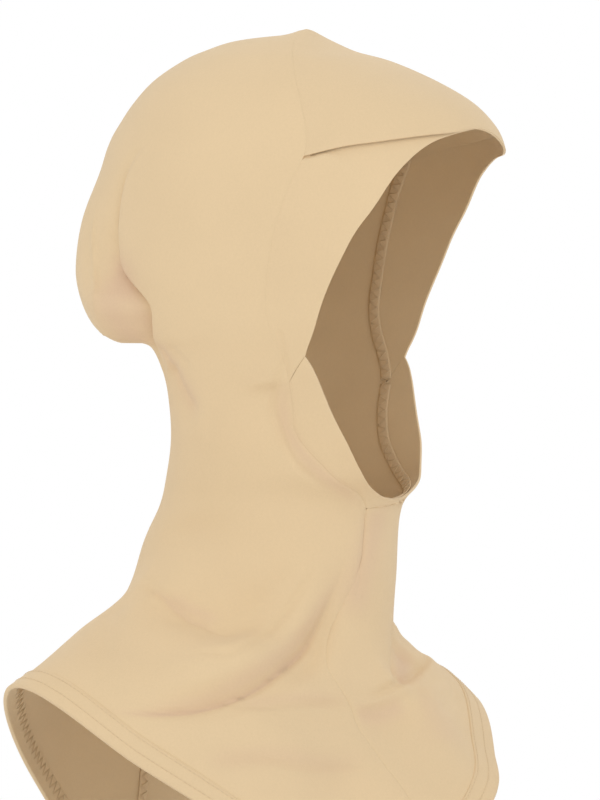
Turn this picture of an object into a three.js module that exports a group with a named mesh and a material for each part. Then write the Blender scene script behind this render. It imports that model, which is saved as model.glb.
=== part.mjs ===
import * as THREE from 'three';
import { mergeVertices } from 'three/addons/utils/BufferGeometryUtils.js';

// Hijab underscarf cap: a close jersey hood with a face opening, a neck and a bib over the shoulders.
// Millimetres and degrees. +Z is up and the face looks along -Y, so the wearer's right is at -X.
// The origin lies under the crown, where the top of the head meets the inside of the cloth.

// Hood
const crownToChin = 224;
const hoodHalfDepth = 98;
const hoodHalfWidth = 78;
const hoodSquareness = 2.15;
const peakHeight = 2.4;
const peakHalfWidth = 15;
const peakHalfLength = 6;

// Neck and bib
const neckRadius = 57;
const neckSetback = 14.7;
const bodyTurn = 25;
const bibReach = 145;
const bibLength = 201;

// Bun pouch at the back of the hood
const pouchDepth = 17;
const pouchSag = 5;
const pouchShoulder = 20;
const creaseDepth = 5;
const creaseWidth = 4;

// Cloth
const wall = 1.2;
const hemWall = 2.4;
const hemWidth = 14;
const seamGap = 0.5;
const layerGap = 1;
const foldDepth = 5;
const foldWidth = 11;
const flapBlend = 2.2;
const outerEdgeSag = 8.5;

// How finely the cloth is divided
const hoodRows = 46;
const sideColumns = 15;
const pouchColumns = 5;
const creaseFront = 4;
const creaseBack = 5;
const flapColumns = 34;
const flapRows = 8;
const bandColumns = 26;
const bandRows = 3;
const hemRows = 2;

// Level sections from the crown to the chin, as shares: drop of crownToChin, front and back of
// hoodHalfDepth, side of hoodHalfWidth, setback of neckSetback, twist of bodyTurn.
const hoodSections = [
  { drop: 0, front: 0, back: 0, side: 0, setback: 0, twist: 0 },
  { drop: 0.013, front: 0.09, back: 0.335, side: 0.255, setback: 0, twist: 0 },
  { drop: 0.036, front: 0.21, back: 0.51, side: 0.435, setback: 0, twist: 0 },
  { drop: 0.058, front: 0.4, back: 0.62, side: 0.55, setback: 0, twist: 0 },
  { drop: 0.098, front: 0.62, back: 0.755, side: 0.69, setback: 0, twist: 0 },
  { drop: 0.143, front: 0.805, back: 0.85, side: 0.795, setback: 0, twist: 0 },
  { drop: 0.188, front: 0.915, back: 0.92, side: 0.87, setback: 0, twist: 0 },
  { drop: 0.232, front: 0.97, back: 0.975, side: 0.925, setback: 0, twist: 0 },
  { drop: 0.295, front: 0.99, back: 1.01, side: 0.97, setback: 0, twist: 0 },
  { drop: 0.393, front: 1, back: 1.015, side: 1, setback: 0, twist: 0 },
  { drop: 0.49, front: 1, back: 0.98, side: 1.005, setback: 0, twist: 0 },
  { drop: 0.57, front: 0.99, back: 0.92, side: 0.985, setback: 0.07, twist: 0 },
  { drop: 0.615, front: 0.985, back: 0.855, side: 0.975, setback: 0.1, twist: 0 },
  { drop: 0.647, front: 0.98, back: 0.795, side: 0.96, setback: 0.14, twist: 0 },
  { drop: 0.675, front: 0.97, back: 0.7, side: 0.94, setback: 0.2, twist: 0 },
  { drop: 0.715, front: 0.955, back: 0.64, side: 0.915, setback: 0.27, twist: 0 },
  { drop: 0.775, front: 0.93, back: 0.585, side: 0.87, setback: 0.44, twist: 0 },
  { drop: 0.855, front: 0.865, back: 0.545, side: 0.815, setback: 0.65, twist: 0 },
  { drop: 0.935, front: 0.74, back: 0.55, side: 0.76, setback: 0.82, twist: 0 },
  { drop: 1, front: 0.585, back: 0.575, side: 0.725, setback: 0.92, twist: 0.16 },
];

// Rows of the bib below the chin. Each has its out share of outOf and its twist share of bodyTurn.
const bibRows = [
  { name: 'neck', outOf: neckRadius, twist: 0.6 },
  { name: 'bend', outOf: neckRadius, twist: 0.92 },
  { name: 'slope', outOf: bibReach, twist: 1 },
  { name: 'skirt', outOf: bibReach, twist: 1 },
  { name: 'hem', outOf: bibReach, twist: 1 },
];

// The bib by the turn from the chest towards the wearer's right: [out, drop] shares for each row above,
// with drop as a share of bibLength below the chin.
const bibSections = [
  {
    turn: -135,
    neck: [1.11, 0.09], bend: [1.3, 0.22], slope: [0.65, 0.315], skirt: [0.75, 0.43], hem: [0.83, 0.55],
  },
  {
    turn: -102,
    neck: [1, 0.095], bend: [1.33, 0.205], slope: [0.68, 0.315], skirt: [0.755, 0.36], hem: [0.86, 0.405],
  },
  {
    turn: -75,
    neck: [0.98, 0.12], bend: [1.05, 0.26], slope: [0.58, 0.36], skirt: [0.65, 0.4], hem: [0.755, 0.46],
  },
  {
    turn: -45,
    neck: [0.98, 0.14], bend: [1, 0.315], slope: [0.515, 0.415], skirt: [0.605, 0.52], hem: [0.71, 0.585],
  },
  {
    turn: -22,
    neck: [1, 0.15], bend: [1.02, 0.325], slope: [0.52, 0.465], skirt: [0.645, 0.615], hem: [0.765, 0.69],
  },
  {
    turn: 0,
    neck: [1, 0.15], bend: [1.01, 0.33], slope: [0.49, 0.51], skirt: [0.615, 0.69], hem: [0.74, 0.87],
  },
  {
    turn: 22,
    neck: [1, 0.145], bend: [1.03, 0.32], slope: [0.505, 0.48], skirt: [0.6, 0.7], hem: [0.69, 1],
  },
  {
    turn: 45,
    neck: [0.98, 0.14], bend: [1.05, 0.29], slope: [0.56, 0.4], skirt: [0.69, 0.58], hem: [0.765, 0.82],
  },
  {
    turn: 75,
    neck: [0.98, 0.12], bend: [1.12, 0.245], slope: [0.62, 0.33], skirt: [0.77, 0.44], hem: [0.885, 0.61],
  },
  {
    turn: 102,
    neck: [1, 0.095], bend: [1.33, 0.205], slope: [0.69, 0.29], skirt: [0.84, 0.355], hem: [1, 0.42],
  },
  {
    turn: 135,
    neck: [1.11, 0.09], bend: [1.3, 0.22], slope: [0.65, 0.315], skirt: [0.75, 0.44], hem: [0.815, 0.63],
  },
  {
    turn: 180,
    neck: [1.12, 0.09], bend: [1.24, 0.24], slope: [0.565, 0.42], skirt: [0.635, 0.64], hem: [0.66, 0.925],
  },
];

// Bun pouch by row: turn of its crease, then shares: out of pouchDepth, lift of pouchSag and
// deep of creaseDepth.
const pouchSections = [
  { row: 7, turn: 134, out: 0, lift: 0, deep: 0 },
  { row: 8, turn: 141.5, out: 0.07, lift: 0, deep: 0.3 },
  { row: 9, turn: 145, out: 0.51, lift: 0, deep: 0.5 },
  { row: 10, turn: 146, out: 0.88, lift: 0, deep: 0.6 },
  { row: 11, turn: 133, out: 0.98, lift: 0.2, deep: 0.8 },
  { row: 12, turn: 133.5, out: 0.88, lift: -0.4, deep: 1 },
  { row: 13, turn: 136, out: 0.5, lift: -0.35, deep: 1 },
  { row: 14, turn: 139.5, out: 0.18, lift: 1, deep: 0.6 },
  { row: 15, turn: 142, out: 0, lift: 0, deep: 0.2 },
  { row: 16, turn: 144, out: 0, lift: 0, deep: 0 },
];

// Seam over the crown from cheek to cheek: its turn on either side, row by row.
const crownSeam = [
  { row: 0, turn: 90 },
  { row: 1, turn: 86 },
  { row: 2, turn: 82 },
  { row: 3.5, turn: 77.5 },
  { row: 5, turn: 73 },
  { row: 6.5, turn: 70.5 },
  { row: 7.5, turn: 71 },
  { row: 8.6, turn: 78 },
  { row: 9.6, turn: 82.5 },
  { row: 11, turn: 84 },
  { row: 12.5, turn: 82 },
  { row: 14.3, turn: 77 },
  { row: 15.45, turn: 73 },
];

// Seam under the jaw, from where the crown seam ends to the top of the centre front seam.
const jawSeamRight = [
  { level: 15.45, turn: 73, row: 15.45 },
  { level: 16.2, turn: 70.5, row: 16.2 },
  { level: 17, turn: 66.5, row: 17 },
  { level: 17.6, turn: 56, row: 17.65 },
  { level: 18.2, turn: 43, row: 18.3 },
  { level: 18.6, turn: 30, row: 18.72 },
  { level: 19.06, turn: 20, row: 19.06 },
];
const jawSeamLeft = [
  { level: 15.45, turn: 73, row: 15.45 },
  { level: 16.2, turn: 69.5, row: 16.5 },
  { level: 16.9, turn: 61, row: 17.4 },
  { level: 17.5, turn: 43, row: 18.3 },
  { level: 18, turn: 24, row: 18.82 },
  { level: 18.5, turn: 0, row: 19.06 },
  { level: 19.06, turn: -20, row: 19.06 },
];

// Centre front seam, which wanders with the pull of the cloth, from the jaw seam to the hem.
const frontSeam = [
  { row: 19.06, turn: 20 },
  { row: 19.5, turn: 14.5 },
  { row: 20, turn: 11.5 },
  { row: 20.5, turn: 16 },
  { row: 21, turn: 21.5 },
  { row: 21.6, turn: 22.5 },
  { row: 22, turn: 14 },
  { row: 22.3, turn: 11.5 },
  { row: 22.6, turn: 7.5 },
  { row: 23, turn: 2.5 },
  { row: 24, turn: -3 },
];

// Crossover flap, from its own cheek over the forehead to its end in the far side of the crown seam.
// Turns and seam rows are negative on its own side. The outer flap's edge sags by a share of
// outerEdgeSag.
const flapStations = [
  { along: 0, edgeTurn: -68.5, edgeRow: 14.3, seamRow: -15.45, sag: 0 },
  { along: 0.06, edgeTurn: -67, edgeRow: 12.8, seamRow: -13.8, sag: 0 },
  { along: 0.14, edgeTurn: -63.9, edgeRow: 10.9, seamRow: -11.4, sag: 0 },
  { along: 0.22, edgeTurn: -56.6, edgeRow: 9.55, seamRow: -9.4, sag: 0 },
  { along: 0.29, edgeTurn: -47.8, edgeRow: 8.7, seamRow: -7.8, sag: 0.03 },
  { along: 0.36, edgeTurn: -39.1, edgeRow: 7.87, seamRow: -6.2, sag: 0.17 },
  { along: 0.42, edgeTurn: -29.5, edgeRow: 7.06, seamRow: -4.6, sag: 0.58 },
  { along: 0.48, edgeTurn: -19.2, edgeRow: 6.54, seamRow: -3, sag: 1 },
  { along: 0.54, edgeTurn: -8.8, edgeRow: 6.23, seamRow: -1.4, sag: 0.93 },
  { along: 0.6, edgeTurn: 0, edgeRow: 6.15, seamRow: 0, sag: 0.47 },
  { along: 0.66, edgeTurn: 8.8, edgeRow: 6.23, seamRow: 1.4, sag: 0.12 },
  { along: 0.72, edgeTurn: 19.2, edgeRow: 6.54, seamRow: 3, sag: 0 },
  { along: 0.78, edgeTurn: 28.8, edgeRow: 6.69, seamRow: 4.6, sag: 0 },
  { along: 0.87, edgeTurn: 45.2, edgeRow: 6.99, seamRow: 6, sag: 0 },
  { along: 0.95, edgeTurn: 58.5, edgeRow: 7.22, seamRow: 6.95, sag: 0 },
  { along: 1, edgeTurn: 69.2, edgeRow: 7.5, seamRow: 7.36, sag: 0 },
];

// Lower edge of the face opening from the middle to either cheek, which is the chin band's top edge.
const chinEdge = [
  { along: 0, turn: 0, row: 18.87 },
  { along: 0.14, turn: 15, row: 18.77 },
  { along: 0.26, turn: 27.5, row: 18.47 },
  { along: 0.4, turn: 39, row: 17.83 },
  { along: 0.54, turn: 48, row: 17.05 },
  { along: 0.68, turn: 56, row: 16.28 },
  { along: 0.84, turn: 63, row: 15.3 },
  { along: 1, turn: 68.5, row: 14.3 },
];
const chinSeamMeets = -0.25;

// Folds: depth as a share of foldDepth, with valleys below zero, width as a share of foldWidth, and
// the path as [turn, row] points.
const folds = [
  {
    name: 'long valley',
    depth: -1.1,
    width: 0.8,
    path: [[25, 19.6], [24, 20.6], [32, 21.15], [43, 21.85], [53, 22.35], [70, 23.05], [82, 23.5]],
  },
  {
    name: 'ridge above the long valley',
    depth: 0.9,
    width: 1,
    path: [[33, 19.7], [37, 20.6], [47, 21.2], [57, 21.75], [68, 22.25], [80, 22.7]],
  },
  {
    name: 'second valley',
    depth: -0.5,
    width: 0.9,
    path: [[40, 19.7], [46, 20.4], [57, 20.85], [68, 21.3], [78, 21.7]],
  },
  {
    name: 'shoulder valley',
    depth: -0.5,
    width: 0.8,
    path: [[118, 20.6], [98, 20.9], [86, 21.2], [70, 21.4]],
  },
  {
    name: 'streak to the hem',
    depth: -0.4,
    width: 0.9,
    path: [[116, 21], [100, 22], [84, 23.1]],
  },
  {
    name: 'valley across the chest',
    depth: -0.5,
    width: 0.9,
    path: [[55, 22.7], [41, 22.4], [18, 22], [-14, 21.9], [-30, 21.7]],
  },
  {
    name: 'low valley across the chest',
    depth: -0.35,
    width: 0.9,
    path: [[64, 23.6], [44, 23.2], [10, 22.6]],
  },
  {
    name: 'hollow beside the throat',
    depth: -0.8,
    width: 1.2,
    path: [[-52, 21.1], [-30, 21.3], [-14, 21.6]],
  },
  {
    name: 'fold under the jaw',
    depth: -0.4,
    width: 0.8,
    path: [[83, 15.4], [80, 16], [74, 16.8], [63, 17.9]],
  },
  {
    name: 'nape valley',
    depth: -0.5,
    width: 0.8,
    path: [[134, 14.6], [127, 15.6], [112, 16.7]],
  },
  {
    name: 'left neck valley',
    depth: -0.5,
    width: 1,
    path: [[-45, 20], [-60, 20.8], [-80, 21.6], [-96, 22.4]],
  },
];
const foldSteps = 24;
const fadeShare = 0.25;

const clothColour = 0xe2c9a1;
const hemColour = 0xddc49c;
const hoodRowsLast = hoodSections.length - 1;
const lastRow = hoodRowsLast + bibRows.length;
const halfColumns = sideColumns + 2 + pouchColumns;
const jawRow = crownSeam[crownSeam.length - 1].row;
const frontRow = frontSeam[0].row;

// Smooth curve through a table: a Hermite cubic with three-point slopes.
function curve(rows, at, value) {
  const x = rows.map(at);
  const y = rows.map(value);
  const count = x.length;
  const chord = (i) => (y[i + 1] - y[i]) / (x[i + 1] - x[i]);
  const slope = y.map((_, i) => {
    if (i === 0) return chord(0);
    if (i === count - 1) return chord(count - 2);
    const before = x[i] - x[i - 1];
    const after = x[i + 1] - x[i];
    return (chord(i) * before + chord(i - 1) * after) / (before + after);
  });
  return (place) => {
    const p = Math.min(Math.max(place, x[0]), x[count - 1]);
    let i = 0;
    while (i < count - 2 && p > x[i + 1]) i += 1;
    const span = x[i + 1] - x[i];
    const t = (p - x[i]) / span;
    const rise = t * t * (3 - 2 * t);
    const leave = t * (1 - t) * (1 - t) * span * slope[i];
    const arrive = t * t * (t - 1) * span * slope[i + 1];
    return y[i] * (1 - rise) + y[i + 1] * rise + leave + arrive;
  };
}

function mix(a, b, share) {
  return a + (b - a) * share;
}

function smoothStep(share) {
  const t = Math.min(Math.max(share, 0), 1);
  return t * t * (3 - 2 * t);
}

// The bib's table runs on past the back on both sides, so its curves close into a ring.
const bibRing = [
  ...bibSections.slice(-2).map((row) => ({ ...row, turn: row.turn - 360 })),
  ...bibSections,
  ...bibSections.slice(0, 2).map((row) => ({ ...row, turn: row.turn + 360 })),
];
const bibCurves = bibRows.map(({ name }) => ({
  out: curve(bibRing, (row) => row.turn, (row) => row[name][0]),
  drop: curve(bibRing, (row) => row.turn, (row) => row[name][1]),
}));

const pouchCurve = {
  turn: curve(pouchSections, (row) => row.row, (row) => row.turn),
  out: curve(pouchSections, (row) => row.row, (row) => row.out),
  lift: curve(pouchSections, (row) => row.row, (row) => row.lift),
  deep: curve(pouchSections, (row) => row.row, (row) => row.deep),
};

// Radius, height, setback and twist of one row at a turn. The hood's rows are superellipses.
function section(index, turn) {
  if (index <= hoodRowsLast) {
    const row = hoodSections[index];
    const height = wall - row.drop * crownToChin;
    const setback = row.setback * neckSetback;
    const twist = row.twist * bodyTurn;
    if (row.side === 0) return [0, height, setback, twist];
    const along = Math.cos(THREE.MathUtils.degToRad(turn));
    const across = Math.sin(THREE.MathUtils.degToRad(turn));
    const depth = (along > 0 ? row.front : row.back) * hoodHalfDepth;
    const lengthways = Math.abs(along / depth) ** hoodSquareness;
    const sideways = Math.abs(across / (row.side * hoodHalfWidth)) ** hoodSquareness;
    return [(lengthways + sideways) ** (-1 / hoodSquareness), height, setback, twist];
  }
  const place = index - hoodRowsLast - 1;
  const { outOf, twist } = bibRows[place];
  const radius = bibCurves[place].out(turn) * outOf;
  const height = wall - crownToChin - bibCurves[place].drop(turn) * bibLength;
  return [radius, height, neckSetback, twist * bodyTurn];
}

// Catmull-Rom between the rows, run on past both ends by a parabola.
function betweenRows(turn, row) {
  const first = Math.min(Math.max(Math.floor(row), 0), lastRow - 1);
  const t = row - first;
  const a = section(first, turn);
  const b = section(first + 1, turn);
  const c = first + 2 <= lastRow ? section(first + 2, turn) : null;
  const z = first > 0 ? section(first - 1, turn) : null;
  return a.map((_, i) => {
    const before = z ? z[i] : 3 * a[i] - 3 * b[i] + c[i];
    const after = c ? c[i] : 3 * b[i] - 3 * a[i] + z[i];
    const linear = (b[i] - before) / 2;
    const square = before - 2.5 * a[i] + 2 * b[i] - after / 2;
    const cube = (after - before) / 2 + 1.5 * (a[i] - b[i]);
    return a[i] + t * (linear + t * (square + t * cube));
  });
}

// A point of the cloth's outer face without its folds, with the bun pouch and the crown's peak.
function basePoint(turn, row) {
  const [round, level, setback, twist] = betweenRows(turn, row);
  const around = Math.abs(((turn + 540) % 360) - 180);
  const past = around - pouchCurve.turn(row);
  const crease = (THREE.MathUtils.degToRad(past - 1) * round) / creaseWidth;
  const swell = smoothStep(past / pouchShoulder);
  const dent = pouchCurve.deep(row) * creaseDepth * Math.exp(-crease * crease);
  const radius = round + swell * pouchCurve.out(row) * pouchDepth - dent;
  const acrossPeak = (radius * Math.sin(THREE.MathUtils.degToRad(turn))) / peakHalfWidth;
  const alongPeak = (radius * Math.cos(THREE.MathUtils.degToRad(turn))) / peakHalfLength;
  const peak = peakHeight * Math.exp(-acrossPeak * acrossPeak - alongPeak * alongPeak);
  const height = level + swell * pouchCurve.lift(row) * pouchSag + peak;
  const angle = THREE.MathUtils.degToRad(turn + twist);
  return new THREE.Vector3(-radius * Math.sin(angle), setback - radius * Math.cos(angle), height);
}

// Outward direction of a surface given as a function of turn and row.
function outward(surface, turn, row) {
  const turnStep = 0.5;
  const rowStep = 0.03;
  const lowestRow = 0.2;
  const low = Math.max(row, lowestRow);
  const down = surface(turn, low + rowStep).sub(surface(turn, low - rowStep));
  const round = surface(turn + turnStep, low).sub(surface(turn - turnStep, low));
  const normal = round.cross(down).normalize();
  return row < lowestRow / 2 ? new THREE.Vector3(0, 0, 1) : normal;
}

const foldPaths = folds.map((fold) => {
  const turnAlong = curve(fold.path.map((p, i) => [i, p[0]]), (p) => p[0], (p) => p[1]);
  const rowAlong = curve(fold.path.map((p, i) => [i, p[1]]), (p) => p[0], (p) => p[1]);
  const points = Array.from({ length: foldSteps + 1 }, (_, i) => {
    const place = (i / foldSteps) * (fold.path.length - 1);
    return basePoint(turnAlong(place), rowAlong(place));
  });
  return { depth: fold.depth * foldDepth, width: fold.width * foldWidth, points };
});

// Height of the folds at a point: each is a bell across its path and fades towards both ends.
function relief(point) {
  const nearest = new THREE.Vector3();
  const piece = new THREE.Line3();
  let height = 0;
  for (const { depth, width, points } of foldPaths) {
    let best = Infinity;
    let place = 0;
    for (let i = 0; i < foldSteps; i += 1) {
      piece.set(points[i], points[i + 1]);
      const share = piece.closestPointToPointParameter(point, true);
      const distance = piece.at(share, nearest).distanceTo(point);
      if (distance < best) {
        best = distance;
        place = (i + share) / foldSteps;
      }
    }
    const fade = smoothStep(place / fadeShare) * smoothStep((1 - place) / fadeShare);
    height += depth * fade * Math.exp(-((best / width) ** 2));
  }
  return height;
}

// A point of the cloth's outer face, folds and all.
function clothPoint(turn, row) {
  const point = basePoint(turn, row);
  return point.addScaledVector(outward(basePoint, turn, row), relief(point));
}

// A sheet of cloth with a wall. place(i, j) gives [turn, row, lift] for each point of the grid, where
// lift moves the outer face outwards. A closed sheet joins its last column to its first. Each square
// is split along its shorter diagonal.
function sheet(name, columns, rows, thickness, closed, place) {
  const across = closed ? columns : columns + 1;
  const positions = [];
  for (const depth of [0, thickness]) {
    for (let j = 0; j <= rows; j += 1) {
      for (let i = 0; i < across; i += 1) {
        const [turn, row, lift] = place(i, j);
        const point = clothPoint(turn, row);
        point.addScaledVector(outward(clothPoint, turn, row), lift - depth);
        positions.push(point.x, point.y, point.z);
      }
    }
  }
  const at = (side, i, j) => (side * (rows + 1) + j) * across + (i % across);
  const faces = [];
  const spot = (i) => new THREE.Vector3().fromArray(positions, 3 * i);
  const quad = (a, b, c, d) => {
    const shorter = spot(a).distanceTo(spot(c)) <= spot(b).distanceTo(spot(d));
    faces.push(...(shorter ? [a, b, c, a, c, d] : [b, c, d, b, d, a]));
  };
  for (let j = 0; j < rows; j += 1) {
    for (let i = 0; i < columns; i += 1) {
      quad(at(0, i, j), at(0, i + 1, j), at(0, i + 1, j + 1), at(0, i, j + 1));
      quad(at(1, i, j), at(1, i, j + 1), at(1, i + 1, j + 1), at(1, i + 1, j));
    }
    if (!closed) {
      quad(at(0, 0, j), at(0, 0, j + 1), at(1, 0, j + 1), at(1, 0, j));
      quad(at(0, columns, j), at(1, columns, j), at(1, columns, j + 1), at(0, columns, j + 1));
    }
  }
  for (let i = 0; i < columns; i += 1) {
    quad(at(0, i, 0), at(1, i, 0), at(1, i + 1, 0), at(0, i + 1, 0));
    quad(at(0, i, rows), at(0, i + 1, rows), at(1, i + 1, rows), at(1, i, rows));
  }
  const mesh = new THREE.Mesh(closedGeometry(positions, faces), clothMaterial(name));
  mesh.name = name;
  return mesh;
}

// Merges points that coincide, drops the faces that this closes up and turns the rest to face out.
function closedGeometry(positions, faces) {
  const raw = new THREE.BufferGeometry();
  raw.setAttribute('position', new THREE.Float32BufferAttribute(positions, 3));
  raw.setIndex(faces);
  const merged = mergeVertices(raw, 1e-3);
  const point = (i) => new THREE.Vector3().fromBufferAttribute(merged.attributes.position, i);
  const kept = [];
  let volume = 0;
  for (let f = 0; f < merged.index.count; f += 3) {
    const [a, b, c] = [0, 1, 2].map((k) => merged.index.getX(f + k));
    if (a !== b && b !== c && c !== a) {
      kept.push([a, b, c]);
      volume += point(a).dot(point(b).cross(point(c)));
    }
  }
  merged.setIndex(kept.flatMap(([a, b, c]) => (volume > 0 ? [a, b, c] : [a, c, b])));
  merged.computeVertexNormals();
  return merged;
}

function clothMaterial(name) {
  const color = new THREE.Color(name === 'hem_band' ? hemColour : clothColour);
  return new THREE.MeshStandardMaterial({ color, roughness: 0.9, metalness: 0 });
}

// Angle that half a seam's gap takes up at a point, seen from the middle of the section.
function halfGapTurn(turn, row) {
  const radius = Math.max(betweenRows(turn, row)[0], seamGap);
  return THREE.MathUtils.radToDeg(seamGap / 2 / radius);
}

// Row from which the cloth measures a given length down to its lower edge.
function rowAbove(turn, length) {
  const step = 0.02;
  let row = lastRow;
  let left = length;
  let point = basePoint(turn, row);
  while (left > 0 && row > hoodRowsLast) {
    const next = basePoint(turn, row - step);
    const stride = next.distanceTo(point);
    if (stride >= left) return row - (step * left) / stride;
    left -= stride;
    row -= step;
    point = next;
  }
  return row;
}

const crownSeamTurn = curve(crownSeam, (row) => row.row, (row) => row.turn);
const frontSeamTurn = curve(frontSeam, (row) => row.row, (row) => row.turn);
const jawSeam = [jawSeamRight, jawSeamLeft].map((rows) => ({
  turn: curve(rows, (row) => row.level, (row) => row.turn),
  row: curve(rows, (row) => row.level, (row) => row.row),
}));

// Front edge of a hood half at a level: the crown seam, then the jaw seam, then the centre front seam.
// side is 1 for the wearer's right and -1 for the left, and turns count from the front to that side.
function frontLine(side, level) {
  if (level <= jawRow) return { turn: crownSeamTurn(level), row: level };
  if (level >= frontRow) return { turn: side * frontSeamTurn(level), row: level };
  const seam = jawSeam[side > 0 ? 0 : 1];
  return { turn: seam.turn(level), row: seam.row(level) };
}

// The same line, moved half a seam's gap into the half, square to the seam.
function insetLine(side, level) {
  const step = 0.02;
  const start = frontLine(side, level);
  const ahead = frontLine(side, level + step);
  const behind = frontLine(side, Math.max(level - step, 0));
  const point = basePoint(side * start.turn, start.row);
  const rowLength = basePoint(side * start.turn, start.row + step).distanceTo(point) / step;
  const degreeLength = basePoint(side * start.turn + step, start.row).distanceTo(point) / step;
  const alongTurn = (ahead.turn - behind.turn) * degreeLength;
  const alongRow = (ahead.row - behind.row) * rowLength;
  const inset = seamGap / 2 / Math.hypot(alongTurn, alongRow);
  return {
    turn: start.turn + (alongRow * inset) / degreeLength,
    row: start.row - (alongTurn * inset) / rowLength,
  };
}

// Levels of the hood's rows, closer together at the crown's peak, round the bun pouch and at the jaw.
const rowLevels = [
  { line: 0, level: 0 },
  { line: 1, level: 0.3 },
  { line: 4, level: 1.4 },
  { line: 8, level: 5 },
  { line: 11, level: 7.6 },
  { line: 16, level: 10.4 },
  { line: 18, level: 11.8 },
  { line: 21, level: 14.3 },
  { line: 23, level: jawRow },
  { line: 31, level: frontRow },
  { line: hoodRows, level: lastRow },
];
const levelAt = curve(rowLevels, (row) => row.line, (row) => row.level);
const levels = Array.from({ length: hoodRows + 1 }, (_, line) => levelAt(line));

// The front line as the halves' straight edges run between their rows.
function straightLine(side, level) {
  let line = 0;
  while (line < hoodRows - 1 && levels[line + 1] <= level) line += 1;
  const share = (level - levels[line]) / (levels[line + 1] - levels[line]);
  const from = frontLine(side, levels[line]);
  const to = frontLine(side, levels[line + 1] - 1e-9);
  return { turn: mix(from.turn, to.turn, share), row: mix(from.row, to.row, share) };
}

// Rows where the columns follow the pouch's crease, and the rows over which they change to it.
const pouchRows = { from: 5, blendIn: 3, to: 15.5, blendOut: 4 };

// Turn of a half's column at a level, counted to its own side. The columns are even at the crown and on
// the bib, and follow the crease where the bun pouch is.
function columnTurn(side, column, level) {
  const first = insetLine(side, level).turn;
  const last = 180 - halfGapTurn(180, level);
  const even = mix(first, last, column / halfColumns);
  const rise = smoothStep((level - pouchRows.from) / pouchRows.blendIn);
  const atPouch = rise * (1 - smoothStep((level - pouchRows.to) / pouchRows.blendOut));
  const crease = pouchCurve.turn(level);
  let turn = crease;
  if (column < sideColumns) turn = mix(first, crease - creaseFront, column / (sideColumns - 1));
  if (column > sideColumns) {
    turn = mix(crease + creaseBack, last, (column - sideColumns - 1) / (pouchColumns + 1));
  }
  return mix(even, turn, atPouch);
}

// One half of the hood: from the front line round to the centre back. Its rows swing from the jaw seam
// to level at the back, and the last one lies along the top of the hem.
function hoodHalf(name, side) {
  const corner = (crownSeam[0].turn + 180) / 2;
  const cornerRow = seamGap / Math.SQRT2 / section(1, corner)[0];
  const place = (i, j) => {
    if (j === 0) return [side * corner, cornerRow, 0];
    const level = levels[j];
    const start = insetLine(side, level);
    const turn = columnTurn(side, i, level);
    const share = (turn - start.turn) / (180 - start.turn);
    const row = mix(level, start.row, (1 - share) ** 2);
    const bottom = rowAbove(side * turn, hemWidth + seamGap);
    const squeeze = Math.max(level - frontRow, 0) / (lastRow - frontRow);
    return [side * turn, row - squeeze * (lastRow - bottom), 0];
  };
  return sheet(name, halfColumns, hoodRows, wall, false, place);
}

// Polar charts about the crown meet there without a break, so a flap is mapped on flat coordinates.
function flat(turn, row) {
  const angle = THREE.MathUtils.degToRad(turn);
  return new THREE.Vector2(row * Math.sin(angle), row * Math.cos(angle));
}

const flapCurve = {
  edgeTurn: curve(flapStations, (row) => row.along, (row) => row.edgeTurn),
  edgeRow: curve(flapStations, (row) => row.along, (row) => row.edgeRow),
  seamRow: curve(flapStations, (row) => row.along, (row) => row.seamRow),
  sag: curve(flapStations, (row) => row.along, (row) => row.sag),
};
const foreheadRowLength = (hoodSections[7].drop - hoodSections[6].drop) * crownToChin;

const slit = flapStations.filter((row) => row.edgeTurn >= 0);
const slitRow = curve(slit, (row) => row.edgeTurn, (row) => row.edgeRow);

// A crossover flap. side is 1 where its own cheek is the wearer's right. The under flap lies a layer
// deeper where the other one covers it, and comes up to the surface below the slit.
function frontPanel(name, side, under) {
  const depth = under ? wall + layerGap : 0;
  const crowding = 1.2;
  const cheekGap = 0.004;
  const place = (i, j) => {
    const along = i === 0 ? cheekGap : i / flapColumns;
    const seamRow = flapCurve.seamRow(along);
    const seamSide = seamRow < 0 ? -1 : 1;
    const seam = flat(seamSide * crownSeamTurn(Math.abs(seamRow)), Math.abs(seamRow));
    const sag = under ? 0 : (flapCurve.sag(along) * outerEdgeSag) / foreheadRowLength;
    const edgeRow = flapCurve.edgeRow(along) + sag;
    const edge = flat(flapCurve.edgeTurn(along), edgeRow);
    const far = basePoint(seamSide * crownSeamTurn(Math.abs(seamRow)), Math.abs(seamRow));
    const near = basePoint(flapCurve.edgeTurn(along), edgeRow);
    const length = far.distanceTo(near);
    const share = (1 - (1 - j / flapRows) ** crowding) * (1 - seamGap / 2 / length);
    const spot = edge.lerp(seam, share);
    const row = spot.length();
    const turn = THREE.MathUtils.radToDeg(Math.atan2(spot.x, spot.y));
    const below = turn < 0 ? (row - slitRow(-turn)) / flapBlend : 0;
    const lift = -depth * (1 - smoothStep(below));
    return [-side * turn, row, lift];
  };
  return sheet(name, flapColumns, flapRows, wall, false, place);
}

const chinCurve = {
  turn: curve(chinEdge, (row) => row.along, (row) => row.turn),
  row: curve(chinEdge, (row) => row.along, (row) => row.row),
};

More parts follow.
